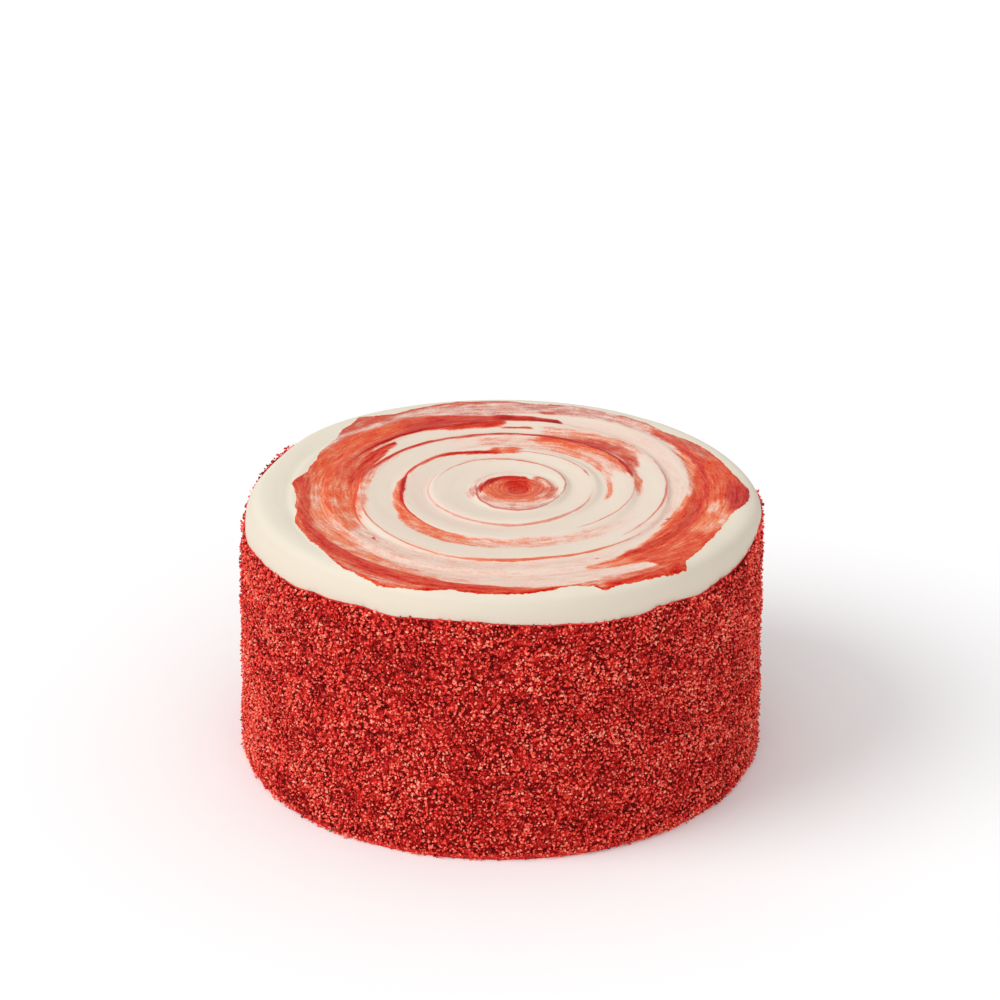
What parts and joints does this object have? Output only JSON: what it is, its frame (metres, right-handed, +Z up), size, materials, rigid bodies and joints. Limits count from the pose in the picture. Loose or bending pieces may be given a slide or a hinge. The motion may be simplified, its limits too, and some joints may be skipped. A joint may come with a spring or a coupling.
{
  "type": "red velvet cheesecake",
  "caption": "Whole round cake with an upright wall coated in red sponge crumbs, and an ivory cream top swirled into a spiral under brushed red glaze.",
  "frame": {"origin": "centre of the flat base, on the surface that the cake stands on", "axes": "+Z up, +Y away from the viewer of the reference view, +X to that viewer's right"},
  "size_m": [0.1814, 0.1811, 0.0941],
  "materials": {
    "red_crumbs": "dry, coarse sponge crumbs, matt",
    "ivory_cream": "smooth cream with a soft sheen, and a thin brushed red glaze over its swirl"
  },
  "bodies": {
    "root": {"crumb_cake": "red_crumbs", "cream_top": "ivory_cream"}
  },
  "joints": []
}
